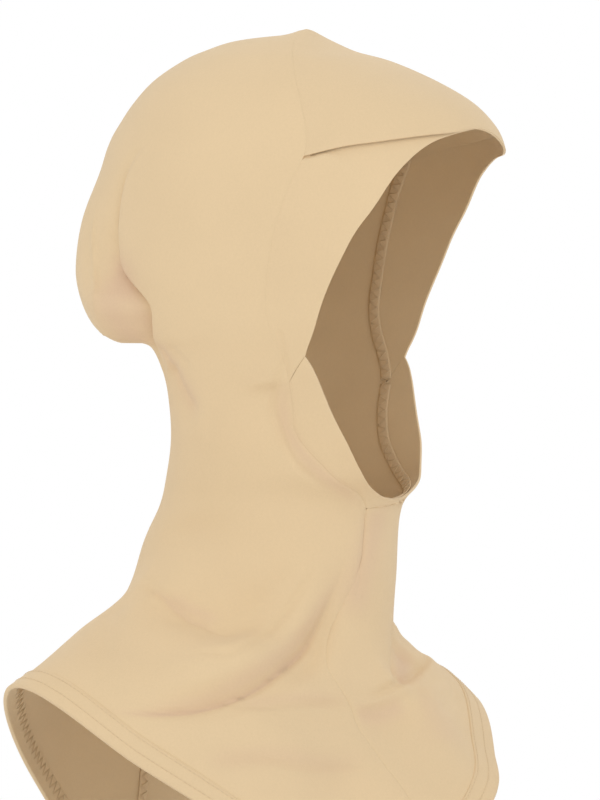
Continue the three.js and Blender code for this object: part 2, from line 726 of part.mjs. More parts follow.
// The band under the jaw, from the right cheek at -1 to the left cheek at 1.
function chinBand() {
  const endGap = 0.006;
  const place = (i, j) => {
    const along = mix(endGap - 1, 1 - endGap, i / bandColumns);
    const side = along < chinSeamMeets ? 1 : -1;
    const end = along < chinSeamMeets ? -1 : 1;
    const level = mix(frontRow, jawRow, (along - chinSeamMeets) / (end - chinSeamMeets));
    const low = straightLine(side, level);
    const edgeTurn = -Math.sign(along) * chinCurve.turn(Math.abs(along));
    const edgeRow = chinCurve.row(Math.abs(along));
    const span = basePoint(side * low.turn, low.row).distanceTo(basePoint(edgeTurn, edgeRow));
    const share = (j / bandRows) * (1 - seamGap / 2 / span);
    return [mix(edgeTurn, side * low.turn, share), mix(edgeRow, low.row, share), 0];
  };
  return sheet('chin_band', bandColumns, bandRows, wall, false, place);
}

// The turned double hem, a ring of thicker cloth round the edge of the bib. Its columns are the halves'
// columns, so that the two edges run side by side.
function hemBand() {
  const lift = (hemWall - wall) / 2;
  const inner = Array.from({ length: halfColumns - 1 }, (_, i) => i + 1);
  const turns = [
    frontSeamTurn(lastRow),
    ...inner.map((i) => columnTurn(1, i, lastRow)),
    180,
    ...inner.reverse().map((i) => -columnTurn(-1, i, lastRow)),
  ];
  const place = (i, j) => {
    const turn = turns[i % turns.length];
    return [turn, mix(rowAbove(turn, hemWidth), lastRow, j / hemRows), lift];
  };
  return sheet('hem_band', turns.length, hemRows, hemWall, true, place);
}

const group = new THREE.Group();
group.add(hoodHalf('hood_right', 1));
group.add(hoodHalf('hood_left', -1));
group.add(frontPanel('front_panel_left', -1, false));
group.add(frontPanel('front_panel_right', 1, true));
group.add(chinBand());
group.add(hemBand());

export default group;
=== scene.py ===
# Hijab underscarf cap in fine beige jersey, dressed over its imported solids.
# The same surface as the solids', worked out far more finely, with its seams, stitches and knit.
import math

import bmesh
import bpy
import numpy as np
from mathutils import Matrix


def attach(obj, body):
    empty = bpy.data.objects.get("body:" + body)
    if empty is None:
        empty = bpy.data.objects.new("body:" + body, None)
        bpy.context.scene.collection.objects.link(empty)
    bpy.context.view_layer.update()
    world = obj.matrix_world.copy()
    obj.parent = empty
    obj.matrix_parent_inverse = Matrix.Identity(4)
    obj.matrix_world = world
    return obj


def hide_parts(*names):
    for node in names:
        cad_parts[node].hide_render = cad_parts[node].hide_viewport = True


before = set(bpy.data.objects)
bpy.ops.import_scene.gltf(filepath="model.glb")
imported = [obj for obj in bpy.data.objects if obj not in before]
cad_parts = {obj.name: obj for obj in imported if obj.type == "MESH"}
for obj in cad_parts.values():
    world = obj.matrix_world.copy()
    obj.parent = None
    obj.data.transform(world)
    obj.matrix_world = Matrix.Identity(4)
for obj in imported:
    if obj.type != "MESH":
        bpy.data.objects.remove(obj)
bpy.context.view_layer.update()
print("frame loaded")

# The surface, in millimetres and degrees, as in the solids. A turn counts from the front towards the
# wearer's right.
hood = {
    "crownToChin": 224,
    "halfDepth": 98,
    "halfWidth": 78,
    "squareness": 2.15,
    "peakHeight": 2.4,
    "peakHalfWidth": 15,
    "peakHalfLength": 6,
}
bib = {"neckRadius": 57, "neckSetback": 14.7, "bodyTurn": 25, "reach": 145, "length": 201}
pouch = {
    "depth": 17,
    "sag": 5,
    "shoulder": 20,
    "creaseDepth": 5,
    "creaseShift": 1,
    "creaseFront": 1.5,
    "creaseBack": 5,
}
cloth = {"wall": 1.2, "hemWall": 2.4, "hemWidth": 14, "layerGap": 0.9}
flap = {
    "columns": 220,
    "rows": 60,
    "crowding": 1.2,  # above 1, the rows crowd towards the crown seam
    "cheekGap": 0.0004,
    "edgeSag": 8.5,
    "blend": 2.2,  # rows below the slit over which the inner flap comes up to the surface
    "endBlend": 0.93,  # how much of that is taken away towards the slit's end
    "endTurn": 45,
    "endSpan": 20,
}

# Level sections from the crown to the chin: drop, front, back, side, setback and twist shares.
hoodRows = np.array([
    [0, 0, 0, 0, 0, 0],
    [0.013, 0.09, 0.335, 0.255, 0, 0],
    [0.036, 0.21, 0.51, 0.435, 0, 0],
    [0.058, 0.4, 0.62, 0.55, 0, 0],
    [0.098, 0.62, 0.755, 0.69, 0, 0],
    [0.143, 0.805, 0.85, 0.795, 0, 0],
    [0.188, 0.915, 0.92, 0.87, 0, 0],
    [0.232, 0.97, 0.975, 0.925, 0, 0],
    [0.295, 0.99, 1.01, 0.97, 0, 0],
    [0.393, 1, 1.015, 1, 0, 0],
    [0.49, 1, 0.98, 1.005, 0, 0],
    [0.57, 0.99, 0.92, 0.985, 0.07, 0],
    [0.615, 0.985, 0.855, 0.975, 0.1, 0],
    [0.647, 0.98, 0.795, 0.96, 0.14, 0],
    [0.675, 0.97, 0.7, 0.94, 0.2, 0],
    [0.715, 0.955, 0.64, 0.915, 0.27, 0],
    [0.775, 0.93, 0.585, 0.87, 0.44, 0],
    [0.855, 0.865, 0.545, 0.815, 0.65, 0],
    [0.935, 0.74, 0.55, 0.76, 0.82, 0],
    [1, 0.585, 0.575, 0.725, 0.92, 0.16],
])
# Rows of the bib below the chin: what the out share is of, and the twist share.
bibRows = [("neck", "neckRadius", 0.6), ("bend", "neckRadius", 0.92), ("slope", "reach", 1),
           ("skirt", "reach", 1), ("hem", "reach", 1)]
# The bib by turn: out and drop shares for neck, bend, slope, skirt and hem.
bibTurns = np.array([
    [-135, 1.11, 0.09, 1.3, 0.22, 0.65, 0.315, 0.75, 0.43, 0.83, 0.55],
    [-102, 1, 0.095, 1.33, 0.205, 0.68, 0.315, 0.755, 0.36, 0.86, 0.405],
    [-75, 0.98, 0.12, 1.05, 0.26, 0.58, 0.36, 0.65, 0.4, 0.755, 0.46],
    [-45, 0.98, 0.14, 1, 0.315, 0.515, 0.415, 0.605, 0.52, 0.71, 0.585],
    [-22, 1, 0.15, 1.02, 0.325, 0.52, 0.465, 0.645, 0.615, 0.765, 0.69],
    [0, 1, 0.15, 1.01, 0.33, 0.49, 0.51, 0.615, 0.69, 0.74, 0.87],
    [22, 1, 0.145, 1.03, 0.32, 0.505, 0.48, 0.6, 0.7, 0.69, 1],
    [45, 0.98, 0.14, 1.05, 0.29, 0.56, 0.4, 0.69, 0.58, 0.765, 0.82],
    [75, 0.98, 0.12, 1.12, 0.245, 0.62, 0.33, 0.77, 0.44, 0.885, 0.61],
    [102, 1, 0.095, 1.33, 0.205, 0.69, 0.29, 0.84, 0.355, 1, 0.42],
    [135, 1.11, 0.09, 1.3, 0.22, 0.65, 0.315, 0.75, 0.44, 0.815, 0.63],
    [180, 1.12, 0.09, 1.24, 0.24, 0.565, 0.42, 0.635, 0.64, 0.66, 0.925],
])
# Bun pouch by row: turn of its crease, then out, lift and deep shares.
pouchRows = np.array([
    [7, 134, 0, 0, 0],
    [8, 141.5, 0.07, 0, 0.3],
    [9, 145, 0.51, 0, 0.5],
    [10, 146, 0.88, 0, 0.6],
    [11, 133, 0.98, 0.2, 0.8],
    [12, 133.5, 0.88, -0.4, 1],
    [13, 136, 0.5, -0.35, 1],
    [14, 139.5, 0.18, 1, 0.6],
    [15, 142, 0, 0, 0.2],
    [16, 144, 0, 0, 0],
])
# Seams: row and turn of the crown seam, level, turn and row of the jaw seams, row and turn in front.
crownSeam = np.array([[0, 90], [1, 86], [2, 82], [3.5, 77.5], [5, 73], [6.5, 70.5], [7.5, 71],
                      [8.6, 78], [9.6, 82.5], [11, 84], [12.5, 82], [14.3, 77], [15.45, 73]])
jawSeamRight = np.array([[15.45, 73, 15.45], [16.2, 70.5, 16.2], [17, 66.5, 17], [17.6, 56, 17.65],
                         [18.2, 43, 18.3], [18.6, 30, 18.72], [19.06, 20, 19.06]])
jawSeamLeft = np.array([[15.45, 73, 15.45], [16.2, 69.5, 16.5], [16.9, 61, 17.4], [17.5, 43, 18.3],
                        [18, 24, 18.8], [18.5, 0, 19], [19.06, -20, 19.06]])
frontSeam = np.array([[19.06, 20], [19.5, 14.5], [20, 11.5], [20.5, 16], [21, 21.5], [21.6, 22.5],
                      [22, 14], [22.3, 11.5], [22.6, 7.5], [23, 2.5], [24, -3]])
# Crossover flap: along, edge turn, edge row, seam row, and the sag share of the outer flap's edge.
flapStations = np.array([
    [0, -68.5, 14.3, -15.45, 0],
    [0.06, -67, 12.8, -13.8, 0],
    [0.14, -63.9, 10.9, -11.4, 0],
    [0.22, -56.6, 9.55, -9.4, 0],
    [0.29, -47.8, 8.7, -7.8, 0.03],
    [0.36, -39.1, 7.87, -6.2, 0.17],
    [0.42, -29.5, 7.06, -4.6, 0.58],
    [0.48, -19.2, 6.54, -3, 1],
    [0.54, -8.8, 6.23, -1.4, 0.93],
    [0.6, 0, 6.15, 0, 0.47],
    [0.66, 8.8, 6.23, 1.4, 0.12],
    [0.72, 19.2, 6.54, 3, 0],
    [0.78, 28.8, 6.69, 4.6, 0],
    [0.87, 45.2, 6.99, 6, 0],
    [0.95, 58.5, 7.22, 6.95, 0],
    [1, 69.2, 7.5, 7.54, 0],
])
# Lower edge of the face opening: along, turn and row.
chinEdge = np.array([[0, 0, 18.87], [0.14, 15, 18.77], [0.26, 27.5, 18.47], [0.4, 39, 17.83],
                     [0.54, 48, 17.05], [0.68, 56, 16.28], [0.84, 63, 15.3], [1, 68.5, 14.3]])
chinSeamMeets = -0.25
lastHoodRow = len(hoodRows) - 1
lastRow = lastHoodRow + len(bibRows)
jawRow = crownSeam[-1, 0]
frontRow = frontSeam[0, 0]


def curve(x, y):
    # Hermite cubic through the points, each slope weighted from the chords on its two sides
    x, y = np.asarray(x, float), np.asarray(y, float)
    span = np.diff(x)
    chord = np.diff(y) / span
    slope = np.concatenate([chord[:1], y[1:-1] * 0, chord[-1:]])
    slope[1:-1] = (chord[1:] * span[:-1] + chord[:-1] * span[1:]) / (span[:-1] + span[1:])

    def at(place):
        # Height at a place, which is held within the first and the last point
        p = np.clip(place, x[0], x[-1])
        i = np.clip(np.searchsorted(x, p, side="right") - 1, 0, len(span) - 1)
        t = (p - x[i]) / span[i]
        rise = t * t * (3 - 2 * t)
        leave = t * (1 - t) ** 2 * span[i] * slope[i]
        arrive = t * t * (t - 1) * span[i] * slope[i + 1]
        return y[i] * (1 - rise) + y[i + 1] * rise + leave + arrive

    return at


def columnCurves(table):
    # A curve through each further column of a table, along its first
    return [curve(table[:, 0], column) for column in table.T[1:]]


def mix(a, b, share):
    # From a at 0 to b at 1, straight
    return a + (b - a) * share


def smoothStep(share):
    # From 0 to 1, level at both ends
    t = np.clip(share, 0, 1)
    return t * t * (3 - 2 * t)


# The bib's table runs on past the back on both sides, so its curves close into a ring.
fullTurn = 360 * np.eye(bibTurns.shape[1])[0]
bibCurves = columnCurves(np.vstack([bibTurns[-2:] - fullTurn, bibTurns, bibTurns[:2] + fullTurn]))
pouchCurves = columnCurves(pouchRows)
crownSeamTurn = curve(*crownSeam.T)
frontSeamTurn = curve(*frontSeam.T)


def sections(turn):
    # Radius, height, setback and twist of every row at the turns: superellipses, then the bib's curves.
    angle = np.radians(turn)
    along, across = np.cos(angle), np.sin(angle)
    power = hood["squareness"]
    drop, front, back, side, setback, twist = hoodRows[1:, :, None].transpose(1, 0, 2)
    depth = np.where(along > 0, front, back) * hood["halfDepth"]
    total = np.abs(along / depth) ** power + np.abs(across / (side * hood["halfWidth"])) ** power
    flatRow = np.zeros_like(angle)
    rows = [np.stack([flatRow, flatRow + cloth["wall"], flatRow, flatRow])]
    hoodPart = np.stack([
        total ** (-1 / power),
        cloth["wall"] - drop * hood["crownToChin"] + flatRow,
        setback * bib["neckSetback"] + flatRow,
        twist * bib["bodyTurn"] + flatRow,
    ], axis=1)
    rows.extend(hoodPart)
    for place, (_, outOf, rowTwist) in enumerate(bibRows):
        out, fall = bibCurves[2 * place](turn), bibCurves[2 * place + 1](turn)
        height = cloth["wall"] - hood["crownToChin"] - fall * bib["length"]
        rows.append(np.stack([out * bib[outOf], height, flatRow + bib["neckSetback"],
                              flatRow + rowTwist * bib["bodyTurn"]]))
    rows = np.array(rows)
    before = 3 * rows[0] - 3 * rows[1] + rows[2]
    after = 3 * rows[-1] - 3 * rows[-2] + rows[-3]
    return np.concatenate([before[None], rows, after[None]])


def betweenRows(turn, row):
    # Catmull-Rom between the rows, run on past both ends by a parabola
    table = sections(turn)
    first = np.clip(np.floor(row).astype(int), 0, lastRow - 1)
    t = row - first
    each = np.arange(len(turn))
    z, a, b, c = (table[first + step, :, each].T for step in range(4))
    linear = (b - z) / 2
    square = z - 2.5 * a + 2 * b - c / 2
    cube = (c - z) / 2 + 1.5 * (a - b)
    return a + t * (linear + t * (square + t * cube))


def basePoint(turn, row):
    # The cloth's outer face without folds: radius round an axis, plus the bun pouch and crown peak.
    turn, row = (v.ravel() for v in np.broadcast_arrays(np.asarray(turn, float), row))
    around, level, setback, twist = betweenRows(turn, row)
    creaseTurn, out, lift, deep = (one(row) for one in pouchCurves)
    past = np.abs((turn + 540) % 360 - 180) - creaseTurn
    crease = np.radians(past - pouch["creaseShift"]) * around
    crease = crease / np.where(crease < 0, pouch["creaseFront"], pouch["creaseBack"])
    swell = smoothStep(past / pouch["shoulder"])
    radius = around + swell * out * pouch["depth"] - deep * pouch["creaseDepth"] * np.exp(-crease ** 2)
    acrossPeak = radius * np.sin(np.radians(turn)) / hood["peakHalfWidth"]
    alongPeak = radius * np.cos(np.radians(turn)) / hood["peakHalfLength"]
    peak = hood["peakHeight"] * np.exp(-acrossPeak ** 2 - alongPeak ** 2)
    angle = np.radians(turn + twist)
    height = level + swell * lift * pouch["sag"] + peak
    return np.stack([-radius * np.sin(angle), setback - radius * np.cos(angle), height], axis=1)


def outward(surface, turn, row):
    # Unit normal from small steps round and down the surface
    low = np.maximum(row, 0.2)
    down = surface(turn, low + 0.03) - surface(turn, low - 0.03)
    around = surface(turn + 0.5, low) - surface(turn - 0.5, low)
    normal = np.cross(around, down)
    normal /= np.linalg.norm(normal, axis=1)[:, None]
    return np.where((np.asarray(row) < 0.1)[:, None], [0, 0, 1], normal)


# Folds: depth and width in millimetres, with valleys below zero, and the path as turn and row pairs.
folds = [
    ("long valley", -5.5, 8.8, [(25, 19.6), (24, 20.6), (32, 21.15), (43, 21.85), (53, 22.35),
                                (70, 23.05), (82, 23.5)]),
    ("ridge above it", 4.5, 11, [(33, 19.7), (37, 20.6), (47, 21.2), (57, 21.75), (68, 22.25),
                                 (80, 22.7)]),
    ("second valley", -2.5, 9.9, [(40, 19.7), (46, 20.4), (57, 20.85), (68, 21.3), (78, 21.7)]),
    ("shoulder valley", -2.5, 8.8, [(118, 20.6), (98, 20.9), (86, 21.2), (70, 21.4)]),
    ("streak to the hem", -2, 9.9, [(116, 21), (100, 22), (84, 23.1)]),
    ("valley across the chest", -2.5, 9.9, [(55, 22.7), (41, 22.4), (18, 22), (-14, 21.9),
                                            (-30, 21.7)]),
    ("low valley", -1.75, 9.9, [(64, 23.6), (44, 23.2), (10, 22.6)]),
    ("hollow beside the throat", -4, 13.2, [(-52, 21.1), (-30, 21.3), (-14, 21.6)]),
    ("fold under the jaw", -2, 8.8, [(83, 15.4), (80, 16), (74, 16.8), (63, 17.9)]),
    ("nape valley", -2.5, 8.8, [(134, 14.6), (127, 15.6), (112, 16.7)]),
    ("left neck valley", -2.5, 11, [(-45, 20), (-60, 20.8), (-80, 21.6), (-96, 22.4)]),
]
# Finer creases that only the looks carry, in the same form.
creases = [
    ("long crease", -1.9, 1.8, [(22, 19.6), (22.5, 20.3), (28, 20.8), (34, 21.2), (41, 21.6),
                                (47.5, 22.05), (54.5, 22.4), (61, 22.7), (66.5, 22.95),
                                (74.5, 23.25), (80, 23.45), (88, 23.75)]),
    ("roll above it", 1.1, 5, [(27.5, 20.3), (37, 20.9), (47.5, 21.6), (57, 22.1), (65, 22.5),
                               (73, 22.9)]),
    ("roll below it", 0.8, 2.6, [(27.5, 21), (33, 21.3), (39, 21.7), (47.5, 22.2), (54.5, 22.5),
                                 (60.5, 22.8), (66.5, 23.05)]),
    ("second crease", -1, 2, [(34.5, 19.9), (40.5, 20.35), (47, 20.85), (53, 21.45),
                              (60, 21.95), (67.5, 22.1), (78, 22.35)]),
    ("second roll", 0.7, 4, [(40, 19.85), (45.5, 20.35), (52.5, 20.8), (58.5, 21.3)]),
    ("shoulder crease", -1.2, 1.9, [(112, 20.75), (107, 20.8), (96, 20.95), (89, 21.1),
                                    (81.5, 21.25), (76, 21.3), (68.5, 21.4), (62, 21.5)]),
    ("chest crease", -1, 1.8, [(62, 22.7), (50, 22.5), (41, 22.3), (27.5, 22), (12.5, 21.8)]),
    ("chest roll", 0.5, 2.5, [(58, 22.8), (50, 22.6), (41, 22.4), (27.5, 22.1), (14, 21.95)]),
    ("low crease", -0.8, 2, [(64, 23.7), (52, 23.25), (39, 23), (24.5, 22.7), (10, 22.6)]),
    ("left crease", -1.7, 2, [(13, 21.75), (-2, 21.6), (-12.5, 21.56), (-26, 21.55), (-45, 21.64),
                              (-63, 21.77), (-85, 21.9)]),
    ("left roll", 1.4, 2.8, [(16, 21.88), (9, 21.78), (-2, 21.7), (-12.5, 21.68), (-26, 21.68),
                             (-45, 21.76), (-63, 21.88), (-85, 22)]),
    ("neck root crease", -1.2, 2, [(-42, 21), (-24.5, 21.2), (-17, 21.45), (-12, 21.6)]),
    ("throat crease", -0.9, 2.2, [(24.5, 18.95), (16, 19.4), (11, 20), (9, 20.5)]),
    ("nape crease", -0.9, 2.4, [(134.5, 13.1), (129.5, 15.35), (112, 16.5)]),
    ("short nape crease", -0.7, 2.4, [(128, 13.5), (122, 14.3), (116, 15)]),
    ("jaw fold", -0.8, 1.8, [(75.5, 14), (76, 14.45), (77.5, 15.2), (78.5, 15.85), (78, 16.35),
                             (74.5, 16.8), (70, 17.35), (63.5, 17.8), (55, 18.2), (47, 18.5)]),
    ("ear crease", -0.5, 1.6, [(78.5, 12.3), (78, 12.9), (76, 14.25), (74, 15.1), (73, 15.6)]),
    ("pouch crease", -0.7, 1.5, [(139.5, 7.9), (143.5, 8.15), (145, 8.6), (146.5, 9.1), (146, 9.6),
                                 (146.5, 10), (144.5, 10.35)]),
    ("pouch ridge", 1.1, 1.4, [(155.5, 8.7), (156, 9.2), (156.5, 9.65), (155, 10.15), (150, 10.65),
                               (148, 11.2), (150, 11.9)]),
    ("pouch lip", 0.8, 1.4, [(159, 12.15), (152.5, 12.35), (151, 12.6), (147, 12.85)]),
    ("left shoulder crease", -0.8, 3.5, [(-50, 20.1), (-66, 20.9), (-84, 21.5), (-100, 22)]),
    ("left chest crease", -0.6, 3, [(-30, 22.2), (-48, 22.5), (-66, 22.9)]),
    ("back crease", -0.7, 4, [(150, 20.2), (168, 20.6), (-176, 20.7), (-160, 20.4)]),
]


def foldLines(table, steps=24):
    # Each path as points on the surface, even along the path
    lines = []
    for _, depth, width, path in table:
        turns, rows = np.array(path, float).T
        turns = np.degrees(np.unwrap(np.radians(turns)))
        place = np.linspace(0, len(path) - 1, steps + 1)
        spots = np.arange(len(path))
        points = basePoint(curve(spots, turns)(place), curve(spots, rows)(place))
        lines.append((depth, width, points))
    return lines


# Painted shade: a rosier, darker tint painted in and beside the folds where shade falls, in the same
# form: strength and width.
paintedShades = [
    ("pouch side", 0.8, 11, [(147, 9.4), (145, 10.4), (143, 11.6), (144, 12.8), (148, 13.6)]),
    ("in the pouch", 0.5, 4.5, [(149.5, 9.6), (148.5, 9.9), (146, 10.3), (141, 10.7), (137.5, 11),
                                (136.5, 11.5), (137.5, 12.3), (140, 12.9)]),
    ("above the long crease", 0.5, 3.6, [(23, 19.9), (25, 20.3), (31.5, 20.7), (42.5, 21.45),
                                         (50, 21.95), (56.5, 22.3), (63.5, 22.7), (69, 22.95),
                                         (75, 23.2), (82, 23.5)]),
    ("in the long crease", 0.9, 1.4, [(22.5, 20), (28, 20.8), (34, 21.2), (41, 21.6), (47.5, 22.05),
                                       (54.5, 22.4), (61, 22.7), (66.5, 22.95), (74.5, 23.25),
                                       (80, 23.45), (88, 23.75)]),
    ("beside the jaw seam", 0.5, 3.4, [(75, 15.1), (74.5, 15.8), (73, 16.55), (69, 17),
                                       (62.5, 17.5), (55, 17.9), (46, 18.3), (33, 18.8),
                                       (22, 19.1)]),
    ("front of the neck", 0.6, 9, [(12, 18.9), (8.5, 19.3), (9, 19.9), (10.5, 20.3), (8.5, 20.8)]),
    ("root of the neck", 0.8, 5, [(-58, 21.3), (-38, 21.35), (-26, 21.45), (-18, 21.55)]),
    ("under the left roll", 0.6, 5, [(12, 21.95), (8, 21.9), (0.5, 21.88), (-8, 21.85),
                                     (-16, 21.82)]),
    ("left of the chest", 0.3, 16, [(-20, 21.9), (-26, 22.2), (-24, 22.8)]),
    ("shoulder", 0.45, 3, [(97, 20.85), (89, 21), (83, 21.07), (77, 21.12), (69, 21.25)]),
    ("shoulder line", 0.4, 1.4, [(107, 20.8), (96, 20.95), (89, 21.1), (81.5, 21.25), (76, 21.3),
                                 (66, 21.42)]),
    ("nape", 0.5, 6, [(136, 13), (127.5, 15.3), (112, 16.5)]),
    ("chest", 0.35, 3.5, [(60, 22.6), (50, 22.42), (41, 22.2), (27.5, 21.92), (12, 21.72)]),
    ("low chest", 0.35, 5, [(64.5, 23.6), (44.5, 23), (9.5, 22.4)]),
]
foldSet = foldLines(folds) + foldLines(creases)
paintedShadeSet = foldLines(paintedShades)
foldEnds = {"reach": 3.2, "fade": 0.25}  # how many widths a fold reaches, and the share that fades


def relief(points, lines):
    # Sum of the lines: each a bell across its path, fading out towards both ends
    height = np.zeros(len(points))
    for depth, width, line in lines:
        low, high = line.min(0) - foldEnds["reach"] * width, line.max(0) + foldEnds["reach"] * width
        near = np.flatnonzero(((points > low) & (points < high)).all(1))
        if not len(near):
            continue
        start, step = line[:-1], np.diff(line, axis=0)
        away = points[near, None] - start
        share = np.clip((away * step).sum(2) / (step ** 2).sum(1), 0, 1)
        distance = np.linalg.norm(away - share[..., None] * step, axis=2)
        best = distance.argmin(1)
        each = np.arange(len(near))
        place = (best + share[each, best]) / len(step)
        fade = smoothStep(place / foldEnds["fade"]) * smoothStep((1 - place) / foldEnds["fade"])
        height[near] += depth * fade * np.exp(-(distance[each, best] / width) ** 2)
    return height


def clothPoint(turn, row):
    # The cloth's outer face, folds and all
    turn, row = (v.ravel() for v in np.broadcast_arrays(np.asarray(turn, float), row))
    point = basePoint(turn, row)
    return point + outward(basePoint, turn, row) * relief(point, foldSet)[:, None]


def rowAbove(turn, length):
    # Row from which the cloth measures the length down to its lower edge
    turn = np.asarray(turn, float).ravel()
    rows = np.linspace(lastRow, lastRow - 2, 201)  # spots over the last two rows
    grid = basePoint(np.repeat(turn, len(rows)), np.tile(rows, len(turn))).reshape(len(turn), -1, 3)
    run = np.linalg.norm(np.diff(grid, axis=1), axis=2).cumsum(1)
    run = np.concatenate([np.zeros((len(turn), 1)), run], axis=1)
    after = np.clip((run < length).sum(1), 1, len(rows) - 1)
    each = np.arange(len(turn))
    share = (length - run[each, after - 1]) / (run[each, after] - run[each, after - 1])
    return mix(rows[after - 1], rows[after], share)


jawCurves = {1: columnCurves(jawSeamRight), -1: columnCurves(jawSeamLeft)}


def frontLine(side, level):
    # Front edge of a hood half: the crown seam, then the jaw seam, then the centre front seam
    level = np.asarray(level, float)
    seamTurn, seamRow = (one(level) for one in jawCurves[side])
    turn = np.where(level <= jawRow, crownSeamTurn(level), seamTurn)
    turn = np.where(level >= frontRow, side * frontSeamTurn(level), turn)
    row = np.where((level > jawRow) & (level < frontRow), seamRow, level)
    return turn, row


def insetLine(side, level, gap):
    # The front edge moved into the half by the gap, square to the seam
    step = 0.02
    turn, row = frontLine(side, level)
    turnAfter, rowAfter = frontLine(side, level + step)
    turnBefore, rowBefore = frontLine(side, np.maximum(level - step, 0))
    point = basePoint(side * turn, row)
    rowLength = np.linalg.norm(basePoint(side * turn, row + step) - point, axis=1) / step
    turnLength = np.linalg.norm(basePoint(side * turn + step, row) - point, axis=1) / step
    alongTurn = (turnAfter - turnBefore) * turnLength
    alongRow = (rowAfter - rowBefore) * rowLength
    inset = gap / np.hypot(alongTurn, alongRow)
    return turn + alongRow * inset / turnLength, row - alongTurn * inset / rowLength


# The solids' grid lines from the crown down, and the row of each, which the finer grid follows
gridLines = [0, 1, 4, 8, 11, 16, 18, 21, 23, 31, 46]
rowLevels = curve(gridLines, [0, 0.3, 1.4, 5, 7.6, 10.4, 11.8, 14.3, jawRow, frontRow, lastRow])


def gridNormals(points, side=1):
    # Normal of each grid point, from its neighbours across and down
    normal = np.cross(np.gradient(points, axis=1), np.gradient(points, axis=0)) * side
    length = np.linalg.norm(normal, axis=2, keepdims=True)
    return np.where(length > 1e-9, normal / np.maximum(length, 1e-9), [0, 0, 1])


def addObject(name, data):
    # An object at the origin, linked to the scene
    thing = bpy.data.objects.new(name, data)
    bpy.context.collection.objects.link(thing)
    return thing


def fromGrid(name, points, uv, values, closed=False, flip=False):
    # A mesh from a grid of points in millimetres, with a UV map in millimetres and one attribute
    rows, columns = points.shape[:2]
    corner = np.arange(rows * columns).reshape(rows, columns)
    right = np.roll(corner, -1, axis=1) if closed else corner[:, 1:]
    left = corner if closed else corner[:, :-1]
    faces = np.stack([left[:-1], right[:-1], right[1:], left[1:]], axis=2).reshape(-1, 4)
    wrap = np.zeros(left[:-1].shape)
    if closed:
        wrap[:, -1] = 1
    wrap = np.stack([wrap * 0, wrap, wrap, wrap * 0], axis=2).reshape(-1, 4)
    if flip:
        faces, wrap = faces[:, ::-1], wrap[:, ::-1]
    mesh = bpy.data.meshes.new(name)
    mesh.from_pydata((points.reshape(-1, 3) / 1000).tolist(), [], faces.tolist())
    spot = uv.reshape(-1, 2)[faces.ravel()]
    if closed:
        ring = uv[0, -1, 0] * columns / (columns - 1)
        spot[:, 0] += wrap.ravel() * ring
    layer = mesh.uv_layers.new(name="grain")
    layer.data.foreach_set("uv", spot.ravel())
    mesh.attributes.new("valley", "FLOAT", "POINT").data.foreach_set("value", values.ravel())
    mesh.polygons.foreach_set("use_smooth", np.ones(len(faces), bool))
    mesh.validate()
    return addObject(name, mesh)


def thicken(piece, wall, rim):
    # The cloth's wall, put on inwards, with its cut edges rounded
    solid = piece.modifiers.new("wall", "SOLIDIFY")
    solid.thickness = wall / 1000
    solid.offset = -1
    edge = piece.modifiers.new("rim", "BEVEL")
    edge.width = rim / 1000
    edge.segments = 2
    edge.limit_method = "ANGLE"
    edge.angle_limit = math.radians(60)
    edge.harden_normals = False


def mergeClose(piece, distance=1e-5):
    # Joins the points that coincide where a grid closes up, and drops the faces that this flattens
    work = bmesh.new()
    work.from_mesh(piece.data)
    bmesh.ops.remove_doubles(work, verts=work.verts, dist=distance)
    bmesh.ops.dissolve_degenerate(work, edges=work.edges, dist=distance)
    work.to_mesh(piece.data)
    work.free()


def grainMap(points):
    # UV in millimetres: length across from the first column and length down from the first row
    across = np.linalg.norm(np.diff(points, axis=1), axis=2).cumsum(1)
    down = np.linalg.norm(np.diff(points, axis=0), axis=2).cumsum(0)
    across = np.concatenate([np.zeros((len(points), 1)), across], axis=1)
    down = np.concatenate([np.zeros((1, points.shape[1])), down], axis=0)
    return np.stack([across, down], axis=2)


def seamDip(points, lines, depth, width):
    # How far the cloth sinks towards a seam: a bell of the distance from the given edge of the grid
    dip = np.zeros(points.shape[:2])
    for line in lines:
        away = np.linalg.norm(points - line, axis=2)
        dip = np.minimum(dip, -depth * np.exp(-(away / width) ** 2))
    return dip


look = {
    "crownDepth": 0.08,  # how far the cloth sinks at its seams above the jaw
    "seamDepth": 0.27,  # and from the jaw seam down
    "seamWidth": 1.2,
    "jerseyGap": 0.01,
}


def clothSheet(name, turn, row, lift, side, seams, wall, closed=False, rim=0.15):
    # A sheet from grids of turn and row: lifted along its normal and sunk towards its seams
    shape = turn.shape
    base = basePoint(turn.ravel(), row.ravel())
    fold = relief(base, foldSet)
    normal = outward(basePoint, turn.ravel(), row.ravel())
    points = (base + normal * fold[:, None]).reshape(shape + (3,))
    lines = []
    if "left" in seams:
        lines.append(points[:, :1])
    if "right" in seams:
        lines.append(points[:, -1:])
    if "bottom" in seams:
        lines.append(points[-1:])
    if "top" in seams:
        lines.append(points[:1])
    depth = mix(look["crownDepth"], look["seamDepth"], smoothStep(row - jawRow + 0.5))
    lift = lift + seamDip(points, lines, depth, look["seamWidth"])
    points = points + gridNormals(points, side) * lift[..., None]
    # Painted shade: how strongly the rosier shadow tint is painted at each point, summed from the
    # painted fold shade table and held between 0 and 1
    valley = np.clip(relief(base, paintedShadeSet), 0, 1).reshape(shape)
    piece = fromGrid(name, points, grainMap(points), valley, closed, side < 0)
    mergeClose(piece)
    thicken(piece, wall, rim)
    return piece


half = {
    "columns": 160,
    "rows": 280,
    "gather": 0.75,  # below 1, the rows crowd towards the bib
    "firstRow": 0.02,
    "spread": (-60, 180),  # all the turns that a column of either half can have
    "sideShare": 0.68,  # share of the columns that lie in front of the pouch's crease
    "frontStrip": 0.04,
    "backStrip": 0.05,
    "creaseFront": 4,
    "creaseBack": 5,
    "pouchFrom": 5,  # rows between which the columns follow the crease, and the rows of each change
    "blendIn": 3,
    "pouchTo": 15.5,
    "blendOut": 4,
}


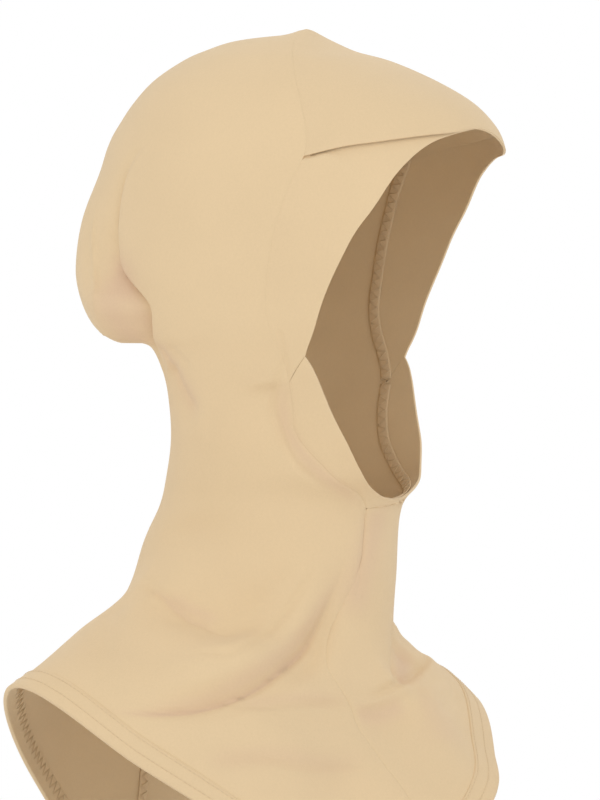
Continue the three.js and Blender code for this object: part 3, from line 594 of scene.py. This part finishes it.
def columnTurns(side, share, level):
    # Even columns at the crown and on the bib, which follow the pouch's crease between them
    first = insetLine(side, level, look["jerseyGap"])[0]
    around = np.maximum(betweenRows(np.full(len(level), 180.0), level)[0], 0.5)
    last = 180 - np.degrees(look["jerseyGap"] / around)
    first, last, level = first[:, None], last[:, None], level[:, None]
    even = mix(first, last, share)
    rise = smoothStep((level - half["pouchFrom"]) / half["blendIn"])
    atPouch = rise * (1 - smoothStep((level - half["pouchTo"]) / half["blendOut"]))
    crease = pouchCurves[0](level)
    middle = half["sideShare"]
    knots = [0, middle - half["frontStrip"], middle, middle + half["backStrip"], 1]
    spots = [first, crease - half["creaseFront"], crease, crease + half["creaseBack"], last]
    turn = sum(np.where((share > a) & (share <= b) | ((share == 0) & (a == 0)),
                        mix(p, q, (share - a) / (b - a)), 0)
               for a, b, p, q in zip(knots[:-1], knots[1:], spots[:-1], spots[1:]))
    return mix(even, turn, atPouch)


def hoodHalf(name, side):
    # From the front line round to the centre back; rows swing from the jaw seam to level at the back
    level = rowLevels(gridLines[-1] * np.linspace(0, 1, half["rows"] + 1) ** half["gather"])
    level[0] = half["firstRow"]
    share = np.linspace(0, 1, half["columns"] + 1)[None]
    startTurn, startRow = insetLine(side, level, look["jerseyGap"])
    turn = columnTurns(side, share, level)
    back = (turn - startTurn[:, None]) / (180 - startTurn[:, None])
    row = mix(level[:, None], startRow[:, None], (1 - back) ** 2)
    squeeze = np.maximum(level - frontRow, 0)[:, None] / (lastRow - frontRow)
    spread = np.linspace(*half["spread"], 121)
    bottom = curve(spread, rowAbove(side * spread, cloth["hemWidth"]))(turn)
    row = row - squeeze * (lastRow - bottom)
    return clothSheet(name, side * turn, row, np.zeros(turn.shape), side, ("left", "right"),
                      cloth["wall"])


def flat(turn, row):
    # Flat chart about the crown: the row is the distance and the turn is the direction
    angle = np.radians(turn)
    return np.stack([row * np.sin(angle), row * np.cos(angle)], axis=-1)


flapCurves = columnCurves(flapStations)
slitRows = flapStations[flapStations[:, 1] >= 0]
slitRow = curve(slitRows[:, 1], slitRows[:, 2])
rowLength = (hoodRows[7, 0] - hoodRows[6, 0]) * hood["crownToChin"]


def flapGrid(along, down, under):
    # Turn, row and lift of a crossover flap: from its free edge at 0 to the crown seam at 1
    edgeTurn, edgeRow, seamRow, sag = (one(along)[:, None] for one in flapCurves)
    if not under:
        edgeRow = edgeRow + sag * flap["edgeSag"] / rowLength
    seamSide = np.where(seamRow < 0, -1, 1)
    seam = flat(seamSide * crownSeamTurn(np.abs(seamRow)), np.abs(seamRow))
    spot = mix(flat(edgeTurn, edgeRow), seam, down[..., None])
    row = np.hypot(spot[..., 0], spot[..., 1])
    turn = np.degrees(np.arctan2(spot[..., 0], spot[..., 1]))
    depth = cloth["wall"] + cloth["layerGap"] if under else 0
    nearEnd = smoothStep((-turn - flap["endTurn"]) / flap["endSpan"])
    blend = flap["blend"] * (1 - flap["endBlend"] * nearEnd)
    below = np.where(turn < 0, (row - slitRow(-turn)) / blend, 0)
    return turn, row, -depth * (1 - smoothStep(below))


def frontPanel(name, side, under):
    # A crossover flap on the side of its own cheek: from the opening's edge up to the crown seam
    along = mix(flap["cheekGap"], 1, np.linspace(0, 1, flap["columns"] + 1))
    down = 1 - (1 - np.linspace(0, 1, flap["rows"] + 1)[None]) ** flap["crowding"]
    seamRow = flapCurves[2](along)
    far = basePoint(np.where(seamRow < 0, -1, 1) * crownSeamTurn(np.abs(seamRow)), np.abs(seamRow))
    near = basePoint(flapCurves[0](along), flapCurves[1](along))
    length = np.linalg.norm(far - near, axis=1)[:, None]
    turn, row, lift = flapGrid(along, down * (1 - look["jerseyGap"] / length), under)
    return clothSheet(name, (-side * turn).T, row.T, lift.T, side, ("bottom",), cloth["wall"])


chin = {"columns": 240, "rows": 24, "reach": 0.9994}
chinCurves = columnCurves(chinEdge)


def chinBand(name):
    # Between the opening's lower edge and the jaw seam, from the right cheek at -1 to the left at 1
    along = mix(-chin["reach"], chin["reach"], np.linspace(0, 1, chin["columns"] + 1))
    side = np.where(along < chinSeamMeets, 1, -1)
    share = (along - chinSeamMeets) / (-side - chinSeamMeets)
    level = mix(frontRow, jawRow, share)
    lowTurn, lowRow = np.where(side > 0, frontLine(1, level), frontLine(-1, level))
    edgeTurn = -np.sign(along) * chinCurves[0](np.abs(along))
    edgeRow = chinCurves[1](np.abs(along))
    lowTurn = side * lowTurn
    span = np.linalg.norm(basePoint(lowTurn, lowRow) - basePoint(edgeTurn, edgeRow), axis=1)
    down = np.linspace(0, 1, chin["rows"] + 1)[:, None] * (1 - look["jerseyGap"] / span)
    turn, row = mix(edgeTurn, lowTurn, down), mix(edgeRow, lowRow, down)
    return clothSheet(name, turn, row, np.zeros(turn.shape), -1, ("bottom",), cloth["wall"])


hem = {"columns": 640, "rows": 14, "gap": 0.2, "rim": 0.6}


def hemBand(name):
    # The turned double hem: a ring of thicker cloth, pressed flat and rounded at its fold
    turn = np.linspace(-180, 180, hem["columns"], endpoint=False)
    top = rowAbove(turn, cloth["hemWidth"] + hem["gap"])
    row = mix(top, lastRow, np.linspace(0, 1, hem["rows"] + 1)[:, None])
    turn = np.broadcast_to(turn, row.shape)
    lift = np.full(row.shape, (cloth["hemWall"] - cloth["wall"]) / 2)
    return clothSheet(name, turn, row, lift, 1, (), cloth["hemWall"], closed=True, rim=hem["rim"])


def surfacePath(turn, row, spacing):
    # Points, normals and tangents along a line on the cloth, evenly spaced in millimetres
    dense = clothPoint(turn, row)
    run = np.concatenate([[0], np.linalg.norm(np.diff(dense, axis=0), axis=1).cumsum()])
    count = max(int(round(run[-1] / spacing)), 2)
    even = np.linspace(0, run[-1], count + 1)
    turn, row = np.interp(even, run, turn), np.interp(even, run, row)
    points, normals = clothPoint(turn, row), outward(basePoint, turn, row)
    tangents = np.gradient(points, axis=0)
    tangents /= np.linalg.norm(tangents, axis=1)[:, None]
    normals -= tangents * (normals * tangents).sum(1)[:, None]
    normals /= np.linalg.norm(normals, axis=1)[:, None]
    return points, normals, tangents


stitch = {
    "length": 2.6,
    "share": 0.72,  # share of the length that the thread shows
    "radius": 0.2,
    "tip": 0.35,  # size of a thread's ends beside its middle
    "rise": 0.16,
    "overlock": 2.4,
    "reach": 2.4,
    "hemLow": 6.0,  # the hem's two rows, measured up from its edge
    "hemHigh": 12.6,
    "hemLift": 0.6,
    "coverLift": -1.85,
    "coverReach": 3.2,
    "overlockLift": -2.3,
}
capMiddle = np.array([0, 15, -170])


def threads(name, paths, radius, sides=6):
    # Round threads along many short paths at once: a ring of points round each spot, ends drawn in
    count, spots = paths.shape[:2]
    along = np.gradient(paths, axis=1)
    along /= np.linalg.norm(along, axis=2)[..., None]
    first = np.cross(along, paths - capMiddle)
    first /= np.linalg.norm(first, axis=2)[..., None]
    second = np.cross(along, first)
    angle = np.linspace(0, 2 * math.pi, sides, endpoint=False)
    tip = np.isin(np.arange(spots), (0, spots - 1))
    size = radius * np.where(tip, stitch["tip"], 1)
    ring = first[:, :, None] * np.cos(angle)[:, None] + second[:, :, None] * np.sin(angle)[:, None]
    points = paths[:, :, None] + ring * size[:, None, None]
    index = np.arange(count * spots * sides).reshape(count, spots, sides)
    turned = np.roll(index, -1, axis=2)
    skin = np.stack([index[:, :-1], turned[:, :-1], turned[:, 1:], index[:, 1:]], axis=3)
    faces = skin.reshape(-1, 4).tolist()
    faces += index[:, 0, ::-1].tolist() + index[:, -1].tolist()
    mesh = bpy.data.meshes.new(name)
    mesh.from_pydata((points.reshape(-1, 3) / 1000).tolist(), [], faces)
    mesh.polygons.foreach_set("use_smooth", np.ones(len(faces), bool))
    return addObject(name, mesh)


def straightStitches(turn, row, lift):
    # Short arcs of thread on the outside, one for each stitch length, with gaps between them
    points, normals, tangents = surfacePath(turn, row, stitch["length"])
    place = np.linspace(-0.5, 0.5, 7)
    length = stitch["length"] * stitch["share"]
    arch = lift - stitch["radius"] + (stitch["rise"] + stitch["radius"]) * np.cos(place * math.pi) ** 0.5
    return (points[:, None] + tangents[:, None] * (place * length)[:, None]
            + normals[:, None] * arch[:, None])


def zigzagStitches(turn, row, lift, reach):
    # Thread that crosses from side to side of the line on the inside, one crossing for each pitch
    points, normals, tangents = surfacePath(turn, row, stitch["overlock"])
    across = np.cross(normals, tangents)
    place = np.linspace(-0.5, 0.5, 5)
    hop = stitch["overlock"] * place
    sway = np.where(np.arange(len(points)) % 2 == 0, 1, -1)[:, None] * (2 * place * reach)
    bow = lift - 0.25 * np.cos(place * math.pi)
    return (points[:, None] + tangents[:, None] * hop[:, None] + across[:, None] * sway[..., None]
            + normals[:, None] * bow[:, None])


strip = {"half": 2.8, "thick": 0.9, "below": 1.25, "sides": 12, "spacing": 2.0}


def allowance(name, lines):
    # Seam allowances: flattened strips under each seam, swept along it with a rounded section
    sides = strip["sides"]
    angle = np.linspace(0, 2 * math.pi, sides, endpoint=False)
    wide = strip["half"] * np.sign(np.cos(angle)) * np.abs(np.cos(angle)) ** 0.5
    deep = strip["thick"] / 2 * np.sign(np.sin(angle)) * np.abs(np.sin(angle)) ** 0.7
    allPoints, allFaces, start = [], [], 0
    for turn, row in lines:
        points, normals, tangents = surfacePath(turn, row, strip["spacing"])
        across = np.cross(normals, tangents)
        sunk = -strip["below"] - strip["thick"] / 2 + deep
        ring = points[:, None] + across[:, None] * wide[:, None] + normals[:, None] * sunk[:, None]
        index = start + np.arange(ring.shape[0] * sides).reshape(-1, sides)
        turned = np.roll(index, -1, axis=1)
        skin = np.stack([index[:-1], index[1:], turned[1:], turned[:-1]], axis=2).reshape(-1, 4)
        allPoints.append(ring.reshape(-1, 3))
        allFaces += skin.tolist() + [index[0].tolist(), index[-1, ::-1].tolist()]
        start += ring.shape[0] * sides
    mesh = bpy.data.meshes.new(name)
    mesh.from_pydata((np.concatenate(allPoints) / 1000).tolist(), [], allFaces)
    mesh.polygons.foreach_set("use_smooth", np.ones(len(allFaces), bool))
    return addObject(name, mesh)


# Rows by which the strips inside stop short of each other and of the hem
seamTrim = {"crown": 0.4, "cheek": 0.1, "jaw": 0.05, "throat": 0.02, "hemFront": 0.75, "hemBack": 0.35}


def seamLines():
    # Turn and row along every seam, from the crown down
    low = np.linspace(seamTrim["crown"], jawRow - seamTrim["cheek"], 200)
    jaw = np.linspace(jawRow + seamTrim["jaw"], frontRow - seamTrim["throat"], 120)
    front = np.linspace(frontRow + seamTrim["jaw"], lastRow - seamTrim["hemFront"], 160)
    lines = {}
    for side, word in ((1, "right"), (-1, "left")):
        turn, row = frontLine(side, low)
        lines["crown " + word] = (side * turn, row)
        turn, row = frontLine(side, jaw)
        lines["jaw " + word] = (side * turn, row)
    lines["front"] = (frontSeamTurn(front), front)
    back = np.linspace(seamTrim["crown"], lastRow - seamTrim["hemBack"], 300)
    lines["back"] = (np.full(back.shape, 180.0), back)
    return lines


seams = seamLines()
hemTurn = np.linspace(-180, 180, 721)
hemRows = [rowAbove(hemTurn, stitch[one]) for one in ("hemLow", "hemHigh")]

pieces = {
    "hood_right_cloth": hoodHalf("hood_right_cloth", 1),
    "hood_left_cloth": hoodHalf("hood_left_cloth", -1),
    "front_panel_left_cloth": frontPanel("front_panel_left_cloth", -1, False),
    "front_panel_right_cloth": frontPanel("front_panel_right_cloth", 1, True),
    "chin_band_cloth": chinBand("chin_band_cloth"),
    "hem_cloth": hemBand("hem_cloth"),
    "hem_stitches": threads("hem_stitches", np.concatenate(
        [straightStitches(hemTurn, row, stitch["hemLift"]) for row in hemRows]), stitch["radius"]),
    "hem_cover_stitches": threads("hem_cover_stitches", zigzagStitches(
        hemTurn, sum(hemRows) / 2, stitch["coverLift"], stitch["coverReach"]), stitch["radius"], 5),
    "seam_allowances": allowance("seam_allowances", list(seams.values())),
    "overlock_stitches": threads("overlock_stitches", np.concatenate(
        [zigzagStitches(*line, stitch["overlockLift"], stitch["reach"]) for line in seams.values()]),
        stitch["radius"], 5),
}
print("cloth made")


jersey = {
    "colour": (0.745, 0.565, 0.345),
    "shadowTint": (0.7, 0.5, 0.33),
    "mottle": 0.035,
    "wale": 0.55,
    "course": 0.42,
    "bump": 0.35,
    "roughness": 0.86,
    "sheen": 0.12,
}


def node(tree, kind, inputs=None, **settings):
    # Adds a node, sets its options, and fills its sockets with values or links
    made = tree.nodes.new(kind)
    for name, value in settings.items():
        setattr(made, name, value)
    for socket, value in (inputs or {}).items():
        if isinstance(value, bpy.types.NodeSocket):
            tree.links.new(value, made.inputs[socket])
        else:
            made.inputs[socket].default_value = value
    return made


def maths(tree, operation, *values):
    # The result of one maths node
    return node(tree, "ShaderNodeMath", dict(enumerate(values)), operation=operation).outputs[0]


def knitHeight(tree, across, down, wale, course):
    # Jersey stitches: columns of V shapes. Height is a ridge across each column times a wave along it.
    column = maths(tree, "FRACT", maths(tree, "DIVIDE", across, wale))
    middle = maths(tree, "ABSOLUTE", maths(tree, "MULTIPLY_ADD", column, 2.0, -1.0))
    lean = maths(tree, "MULTIPLY_ADD", middle, 0.5, maths(tree, "DIVIDE", down, course))
    wave = maths(tree, "SINE", maths(tree, "MULTIPLY", lean, 2 * math.pi))
    ridge = maths(tree, "SUBTRACT", 1.0, maths(tree, "POWER", middle, 3.0))
    core = maths(tree, "POWER", maths(tree, "SUBTRACT", 1.0, middle), 4.0)
    body = maths(tree, "SUBTRACT", ridge, maths(tree, "MULTIPLY", core, 0.45))
    return maths(tree, "MULTIPLY", body, maths(tree, "MULTIPLY_ADD", wave, 0.3, 0.7))


def newMaterial(name):
    # An empty material with its node tree and shader
    material = bpy.data.materials.new(name)
    material.use_nodes = True
    tree = material.node_tree
    return material, tree, tree.nodes["Principled BSDF"]


def jerseyMaterial(name, colour, wale):
    # Fine knit: mottled colour, with painted shade between the stitches and a rosier painted shade in
    # and beside the folds
    material, tree, shader = newMaterial(name)
    grain = node(tree, "ShaderNodeUVMap", uv_map="grain").outputs[0]
    split = node(tree, "ShaderNodeSeparateXYZ", {0: grain})
    place = node(tree, "ShaderNodeTexCoord").outputs["Object"]
    broad = node(tree, "ShaderNodeTexNoise", {"Vector": place, "Scale": 14.0, "Detail": 3.0})
    fine = node(tree, "ShaderNodeTexNoise", {"Vector": place, "Scale": 900.0, "Detail": 4.0})
    yarn = node(tree, "ShaderNodeTexNoise", {"Vector": grain, "Scale": 0.9, "Detail": 2.0})
    wobble = maths(tree, "MULTIPLY_ADD", yarn.outputs[0], 0.5, split.outputs[0])
    height = knitHeight(tree, wobble, split.outputs[1], wale, jersey["course"])
    mottle = maths(tree, "ADD", maths(tree, "MULTIPLY", broad.outputs[0], 0.6),
                   maths(tree, "MULTIPLY", fine.outputs[0], 0.4))
    spread = node(tree, "ShaderNodeMapRange", {
        0: mottle, 1: 0.3, 2: 0.7, 3: 1 - jersey["mottle"], 4: 1 + jersey["mottle"]}).outputs[0]
    # Painted shade between the stitches: the colour falls to 0.93 where the knit lies low, and is
    # multiplied with the random mottle into one brightness factor
    knit = node(tree, "ShaderNodeMapRange", {0: height, 1: 0.0, 2: 1.0, 3: 0.93, 4: 1.02}).outputs[0]
    light = maths(tree, "MULTIPLY", spread, knit)
    # Painted shade: the valley attribute mixes in the shadow tint where shade falls in and beside the
    # folds
    valley = node(tree, "ShaderNodeAttribute", attribute_name="valley").outputs["Fac"]
    tint = node(tree, "ShaderNodeMix", {0: valley, 6: colour + (1,), 7: jersey["shadowTint"] + (1,)},
                data_type="RGBA").outputs[2]
    shade = node(tree, "ShaderNodeVectorMath", {0: tint, "Scale": light}, operation="SCALE")
    tree.links.new(shade.outputs[0], shader.inputs["Base Color"])
    rough = node(tree, "ShaderNodeMapRange", {0: height, 1: 0.0, 2: 1.0, 3: 0.95,
                                              4: jersey["roughness"]}).outputs[0]
    tree.links.new(rough, shader.inputs["Roughness"])
    total = maths(tree, "MULTIPLY_ADD", fine.outputs[0], 0.35, height)
    bump = node(tree, "ShaderNodeBump", {"Strength": jersey["bump"], "Distance": 0.0002,
                                         "Height": total})
    tree.links.new(bump.outputs[0], shader.inputs["Normal"])
    shader.inputs["Sheen Weight"].default_value = jersey["sheen"]
    shader.inputs["Sheen Roughness"].default_value = 0.5
    shader.inputs["Specular IOR Level"].default_value = 0.25
    return material


jerseyCloth = jerseyMaterial("fine jersey", jersey["colour"], jersey["wale"])
hemJersey = jerseyMaterial("doubled jersey", tuple(0.99 * c for c in jersey["colour"]),
                           jersey["wale"] * 1.05)


thread = {"dark": (0.6, 0.45, 0.27), "light": (0.76, 0.585, 0.37), "scale": 3000.0, "detail": 2.0,
          "bump": 0.4, "relief": 0.0001, "roughness": 0.6}
trimmed = {"dark": (0.62, 0.46, 0.28), "light": (0.74, 0.56, 0.345), "scale": 1500.0, "detail": 4.0,
           "bump": 0.5, "relief": 0.0002, "roughness": 0.9}


def speckledMaterial(name, finish):
    # Two close colours mixed by a fine noise that also raises the surface, for thread and cut edges
    material, tree, shader = newMaterial(name)
    place = node(tree, "ShaderNodeTexCoord").outputs["Object"]
    fine = node(tree, "ShaderNodeTexNoise", {"Vector": place, "Scale": finish["scale"],
                                             "Detail": finish["detail"]})
    colour = node(tree, "ShaderNodeMix", {0: fine.outputs[0], 6: finish["dark"] + (1,),
                                          7: finish["light"] + (1,)}, data_type="RGBA")
    tree.links.new(colour.outputs[2], shader.inputs["Base Color"])
    bump = node(tree, "ShaderNodeBump", {"Strength": finish["bump"], "Distance": finish["relief"],
                                         "Height": fine.outputs[0]})
    tree.links.new(bump.outputs[0], shader.inputs["Normal"])
    shader.inputs["Roughness"].default_value = finish["roughness"]
    return material


finishes = {"hem_cloth": hemJersey, "seam_allowances": speckledMaterial("trimmed jersey", trimmed)}
sewing = speckledMaterial("sewing thread", thread)
for name, piece in pieces.items():
    usual = sewing if "stitches" in name else jerseyCloth
    piece.data.materials.append(finishes.get(name, usual))
print("materials made")


stage = {
    "floorHeight": -0.4276,
    "floorSize": 2.6,
    "floorCorners": 96,
    "floorColour": (0.95, 0.945, 0.94),
    "skyLight": 0.88,  # strength of the sky as a light, and as the camera sees it
    "skySeen": 1.0,
}


def makeStage():
    # A plain pale floor under the hem, and an even white sky
    size, corners = stage["floorSize"], stage["floorCorners"]
    mesh = bpy.data.meshes.new("floor")
    angle = np.linspace(0, 2 * math.pi, corners, endpoint=False)
    rim = np.stack([size * np.cos(angle), size * np.sin(angle), stage["floorHeight"] + 0 * angle])
    mesh.from_pydata(rim.T.tolist(), [], [tuple(range(corners))])
    paint, _, shader = newMaterial("pale floor")
    shader.inputs["Base Color"].default_value = stage["floorColour"] + (1,)
    shader.inputs["Roughness"].default_value = 0.9
    shader.inputs["Specular IOR Level"].default_value = 0.1
    mesh.materials.append(paint)
    floor = addObject("floor", mesh)
    world = bpy.data.worlds.new("sky")
    world.use_nodes = True
    sky = world.node_tree.nodes["Background"]
    sky.inputs["Color"].default_value = (1, 1, 1, 1)
    seen = node(world.node_tree, "ShaderNodeLightPath").outputs["Is Camera Ray"]
    strength = maths(world.node_tree, "MULTIPLY_ADD", seen, stage["skySeen"] - stage["skyLight"],
                     stage["skyLight"])
    world.node_tree.links.new(strength, sky.inputs["Strength"])
    bpy.context.scene.world = world


# Lamps: name, azimuth, elevation, distance, size and watts
lamps = [
    ("key", -60, 42, 1.5, 1.0, 2.3),
    ("side fill", -100, 12, 1.8, 1.4, 4),
    ("front fill", -5, 10, 1.8, 1.4, 2),
    ("back fill", 110, 35, 1.8, 1.4, 4),
]


lampMiddle = np.array([0, 0, -0.19])


def facing(azimuth, elevation):
    # Right, up and back directions of what looks at the cap from an azimuth and an elevation
    a, e = math.radians(azimuth), math.radians(elevation)
    back = np.array([math.sin(a) * math.cos(e), -math.cos(a) * math.cos(e), math.sin(e)])
    right = np.array([math.cos(a), math.sin(a), 0])
    return right, np.cross(back, right), back


def putFacing(name, data, axes, spot):
    # An object at a spot, turned to the three directions
    thing = addObject(name, data)
    turn = Matrix(np.stack(axes, axis=1).tolist()).to_4x4()
    thing.matrix_world = Matrix.Translation(spot) @ turn
    return thing


def makeLamps():
    # Square area lamps that face the middle of the cap
    for name, azimuth, elevation, distance, size, power in lamps:
        axes = facing(azimuth, elevation)
        data = bpy.data.lights.new(name, "AREA")
        data.size, data.energy = size, power
        putFacing(name, data, axes, lampMiddle + axes[2] * distance)


view = {"azimuth": -70, "elevation": 0, "distance": 9, "frameHeight": 0.38, "across": -0.0033,
        "height": -0.1727}


def makeCamera():
    # A long lens at the photo's angle, aimed so that its frame is 380 mm high at the cap
    axes = facing(view["azimuth"], view["elevation"])
    centre = axes[0] * view["across"] + np.array([0, 0, view["height"]])
    data = bpy.data.cameras.new("camera")
    data.lens = data.sensor_width * view["distance"] / view["frameHeight"]
    spot = centre + axes[2] * view["distance"]
    bpy.context.scene.camera = putFacing("camera", data, axes, spot)


makeStage()
makeLamps()
makeCamera()
bpy.context.scene.view_settings.view_transform = "Standard"
print("stage, lamps and camera made")


# The solid that each sheet stands for, its flat width and length, and its cut area in square metres
cuts = {
    "hood_right_cloth": ("hood_right", 0.32, 0.46, 0.066),
    "hood_left_cloth": ("hood_left", 0.32, 0.46, 0.067),
    "front_panel_left_cloth": ("front_panel_left", 0.1, 0.34, 0.0155),
    "front_panel_right_cloth": ("front_panel_right", 0.1, 0.34, 0.0145),
    "chin_band_cloth": ("chin_band", 0.025, 0.2, 0.0024),
    "hem_cloth": ("hem_band", 0.014, 0.75, 0.0102),
}
for name, piece in pieces.items():
    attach(piece, "root")
for name, (solid, width, length, area) in cuts.items():
    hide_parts(solid)
